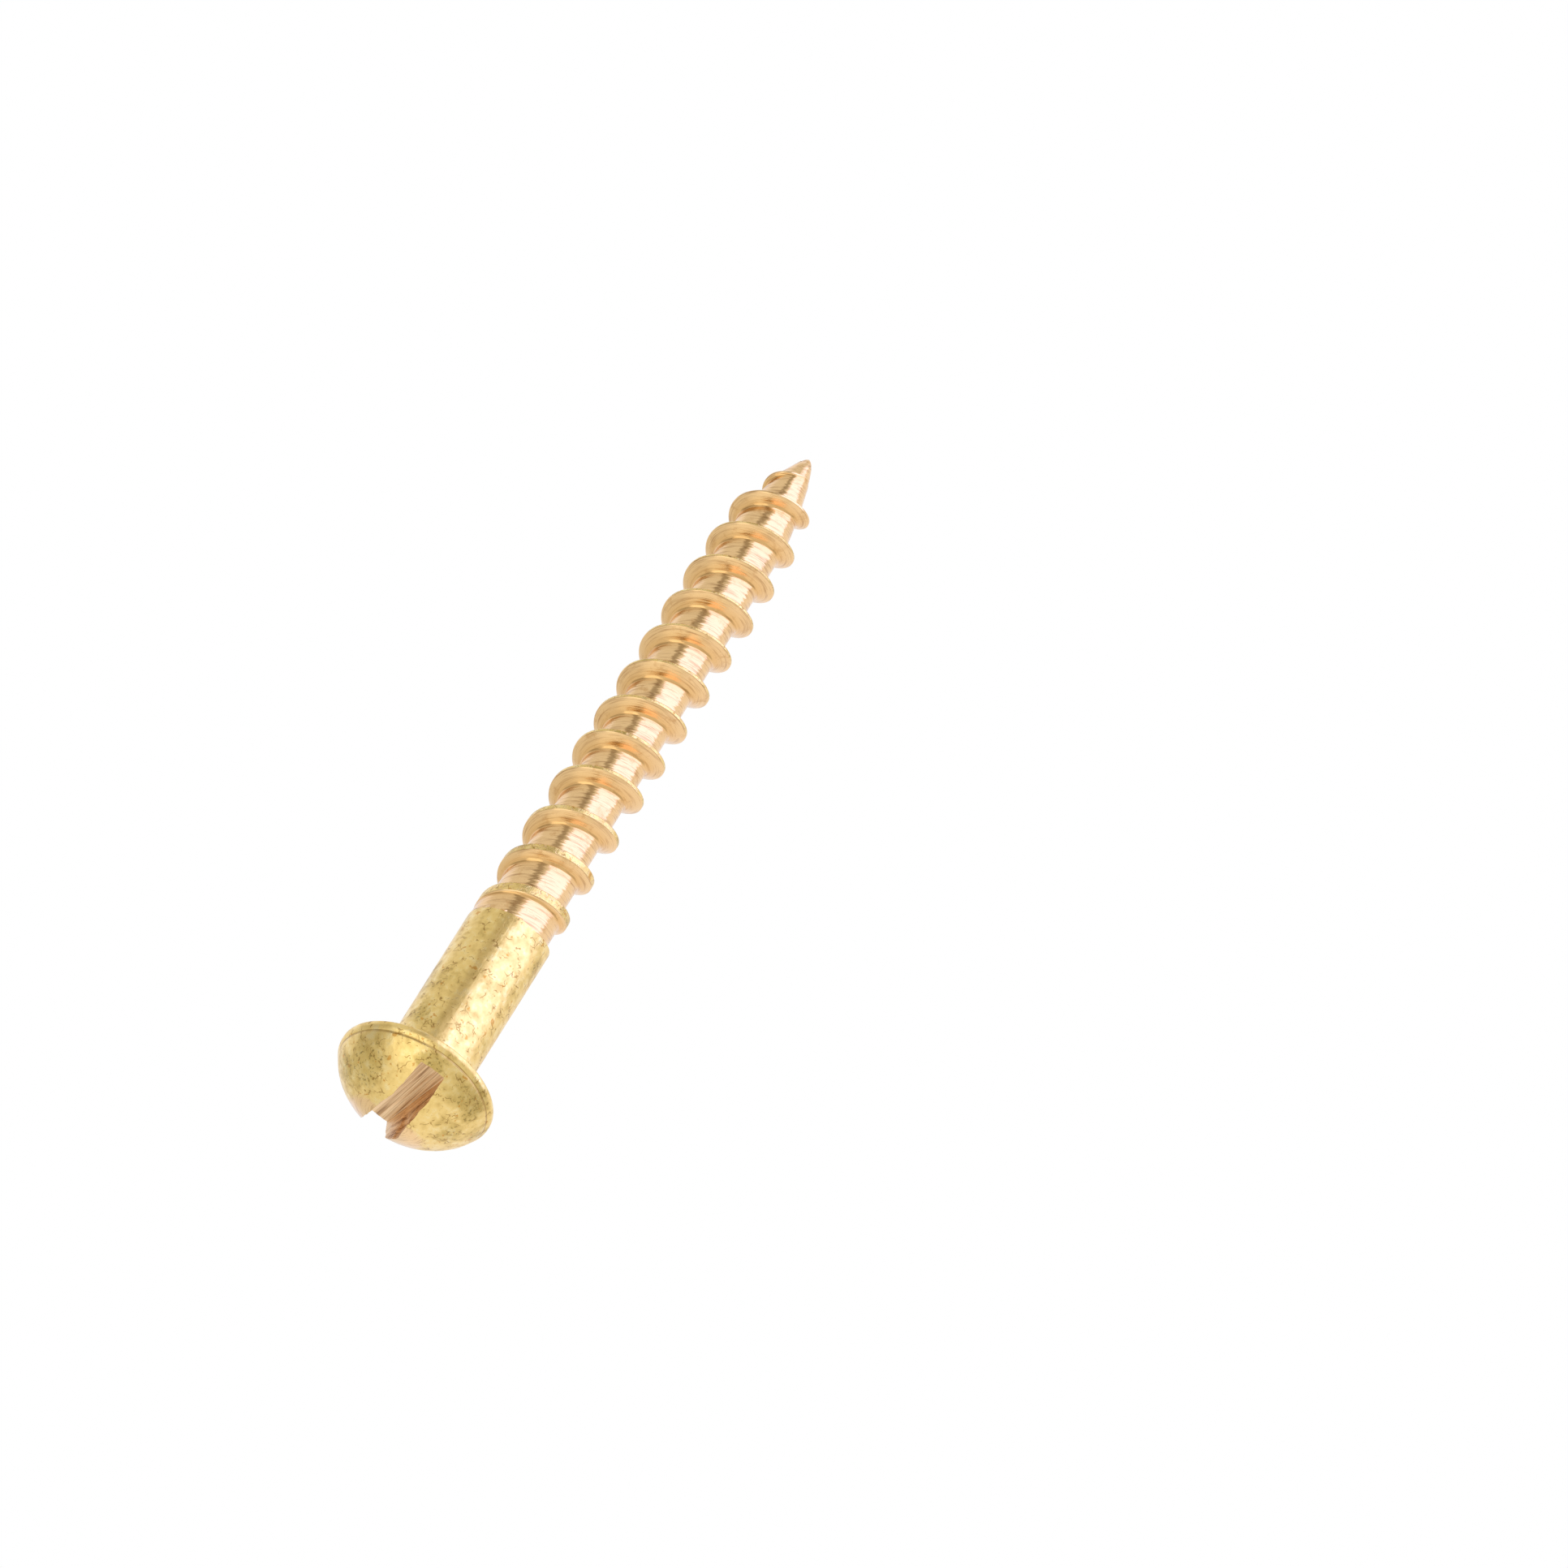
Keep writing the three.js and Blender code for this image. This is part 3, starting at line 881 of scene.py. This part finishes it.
# soft waves of 0.4 mm, from rolling
peel = add_node(tree, "TexNoise", {"Vector": mm, "Scale": 2.6, "Detail": 3.0, "Roughness": 0.5})
peel = add_node(tree, "Math", {0: peel.outputs[0], 1: PEEL_DEPTH}, operation="MULTIPLY")
drawn = add_node(tree, "VectorMath", {0: mm, 1: DRAW_LINES}, operation="MULTIPLY")
drawn = add_node(
    tree, "TexNoise", {"Vector": drawn.outputs[0], "Scale": 1.0, "Detail": 3.0, "Roughness": 0.6}
)
on_shank = add_node(
    tree, "MapRange", {"Value": where.outputs["Z"], "From Min": -0.1, "From Max": -0.5},
)
drawn = add_node(tree, "Math", {0: drawn.outputs[0], 1: on_shank.outputs[0]}, operation="MULTIPLY")
skin_height = add_node(tree, "Math", {0: peel.outputs[0], 1: drawn.outputs[0]}, operation="ADD")
dent = add_node(tree, "Math", {0: scratch.outputs[0], 1: SCRATCH_DEPTH}, operation="MULTIPLY")
skin_height = add_node(
    tree, "Math", {0: skin_height.outputs[0], 1: dent.outputs[0]}, operation="SUBTRACT"
)
height = add_node(
    tree, "Mix", {0: left, 2: lines.outputs[0], 3: skin_height.outputs[0]}
)
print(len(tree.nodes), "nodes with the height")

# %% Brass: facets of the cut
# the tool chattered, so each pass left facets that tip up to 6 degrees round the screw
CHATTER = 0.1            # radians
FACETS = (1.2, 9.0, 1)                    # waves per mm, along and across the path
RELIEF = 0.000008        # metres
chatter = add_node(tree, "VectorMath", {0: path, 1: FACETS}, operation="MULTIPLY")
chatter = add_node(
    tree, "TexNoise", {"Vector": chatter.outputs[0], "Scale": 1.0, "Detail": 3.0, "Roughness": 0.6}
)
tip = add_node(
    tree, "MapRange",
    {"Value": chatter.outputs[0], "From Min": 0.3, "From Max": 0.7,
     "To Min": -CHATTER, "To Max": CHATTER},
)
fresh = add_node(tree, "Math", {0: 1.0, 1: left}, operation="SUBTRACT")
tip = add_node(tree, "Math", {0: tip.outputs[0], 1: fresh.outputs[0]}, operation="MULTIPLY")
facing = add_node(tree, "NewGeometry").outputs["Normal"]
around = add_node(tree, "VectorMath", {0: (0, 0, 1), 1: facing}, operation="CROSS_PRODUCT")
around = add_node(
    tree, "VectorMath", {0: around.outputs[0], "Scale": tip.outputs[0]}, operation="SCALE"
)
tipped = add_node(tree, "VectorMath", {0: facing, 1: around.outputs[0]}, operation="ADD")
tipped = add_node(tree, "VectorMath", {0: tipped.outputs[0]}, operation="NORMALIZE")
relief = add_node(
    tree, "Bump",
    {"Height": height.outputs[0], "Distance": RELIEF, "Normal": tipped.outputs[0]},
)
body = add_node(
    tree, "BsdfPrincipled",
    {"Base Color": colour.outputs[2], "Metallic": 1.0, "Roughness": rough.outputs[0],
     "Normal": relief.outputs[0]},
)
add_node(tree, "OutputMaterial", {"Surface": body.outputs[0]})
print(len(tree.nodes), "nodes in", turned.name)

# %% [markdown]
# ## Sawn brass
# The saw leaves bare metal with long straight lines along its way, matt and pinkish tan, a few of
# them deep and brown, and to the eye it is a dull stripe across a glossy head. Two noises stretched
# fifty and eighty times along the slot draw them. They run with the sloping floor, and they are 0.16
# and 0.06 mm apart, coarser than real saw lines, so that they show.

# %% Brass, sawn
DEEP_LINES = (0.008, 0.00016, 0.00016)    # metres along the slot and across it
TOOTH_LINES = (0.005, 0.00006, 0.00006)
SAWN_ROUGHNESS = 0.5
SAWN_RELIEF = 0.000014                    # metres
sawn = bpy.data.materials.new("sawn_brass")
sawn.use_nodes = True
tree = sawn.node_tree
tree.nodes.clear()
place = add_node(tree, "TexCoord").outputs["Object"]
along_saw = (0, -math.atan(SLOT_SLOPE), 0)
kerf = add_node(
    tree, "Mapping", {"Vector": place, "Rotation": along_saw, "Scale": DEEP_LINES},
    vector_type="TEXTURE",
)
kerf = add_node(
    tree, "TexNoise", {"Vector": kerf.outputs[0], "Scale": 1.0, "Detail": 3.0, "Roughness": 0.6}
)
tooth = add_node(
    tree, "Mapping", {"Vector": place, "Rotation": along_saw, "Scale": TOOTH_LINES},
    vector_type="TEXTURE",
)
tooth = add_node(
    tree, "TexNoise", {"Vector": tooth.outputs[0], "Scale": 1.0, "Detail": 2.0, "Roughness": 0.5}
)
lines = add_node(tree, "Mix", {0: 0.4, 2: kerf.outputs[0], 3: tooth.outputs[0]})
darker = add_node(
    tree, "MapRange", {"Value": lines.outputs[0], "From Min": 0.42, "From Max": 0.62},
)
colour = add_node(
    tree, "Mix", {0: darker.outputs[0], 6: linear(SAWN), 7: linear(SAW_LINE)}, data_type="RGBA"
)
deep = add_node(
    tree, "MapRange",
    {"Value": kerf.outputs[0], "From Min": 0.57, "From Max": 0.64, "To Max": 0.75},
)
colour = add_node(
    tree, "Mix", {0: deep.outputs[0], 6: colour.outputs[2], 7: linear(DEEP_LINE)}, data_type="RGBA"
)
relief = add_node(tree, "Bump", {"Height": lines.outputs[0], "Distance": SAWN_RELIEF})
body = add_node(
    tree, "BsdfPrincipled",
    {"Base Color": colour.outputs[2], "Metallic": 1.0, "Roughness": SAWN_ROUGHNESS,
     "Normal": relief.outputs[0]},
)
add_node(tree, "OutputMaterial", {"Surface": body.outputs[0]})
print(len(tree.nodes), "nodes in", sawn.name)

# %% [markdown]
# ## The cut and the hand-over
# The Boolean gives the faces that it makes the cutter's second material, so the slot comes out
# sawn and the rest stays turned. The result is kept as a plain mesh. Faces that meet at more than
# 38 degrees keep a sharp edge, which leaves the lips and the crests crisp and the rest smooth. Then
# the piece is tied to the physics model's one body and stands for its one node.

# %% Saw the slot and smooth the mesh
SHARP_FROM = 38          # degrees
for one in (mesh, saw_mesh):
    one.materials.append(turned)
    one.materials.append(sawn)
saw_mesh.polygons.foreach_set("material_index", [1] * len(saw_mesh.polygons))
cut = screw.modifiers.new("slot", "BOOLEAN")
cut.operation = "DIFFERENCE"
cut.object = saw
cut.solver = "EXACT"
cut.material_mode = "INDEX"
bpy.context.view_layer.update()
cut_screw = screw.evaluated_get(bpy.context.evaluated_depsgraph_get())
cut_mesh = bpy.data.meshes.new_from_object(cut_screw)
screw.modifiers.clear()
screw.data = cut_mesh
bpy.data.objects.remove(saw)
cut_mesh.name = "turned_brass_screw"
cut_mesh.polygons.foreach_set("use_smooth", [True] * len(cut_mesh.polygons))
cut_mesh.set_sharp_from_angle(angle=math.radians(SHARP_FROM))
triangles = sum(len(p.vertices) - 2 for p in cut_mesh.polygons)
print(triangles, "triangles;", sum(p.material_index == 1 for p in cut_mesh.polygons), "sawn faces")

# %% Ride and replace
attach(screw, "root")
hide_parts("screw")
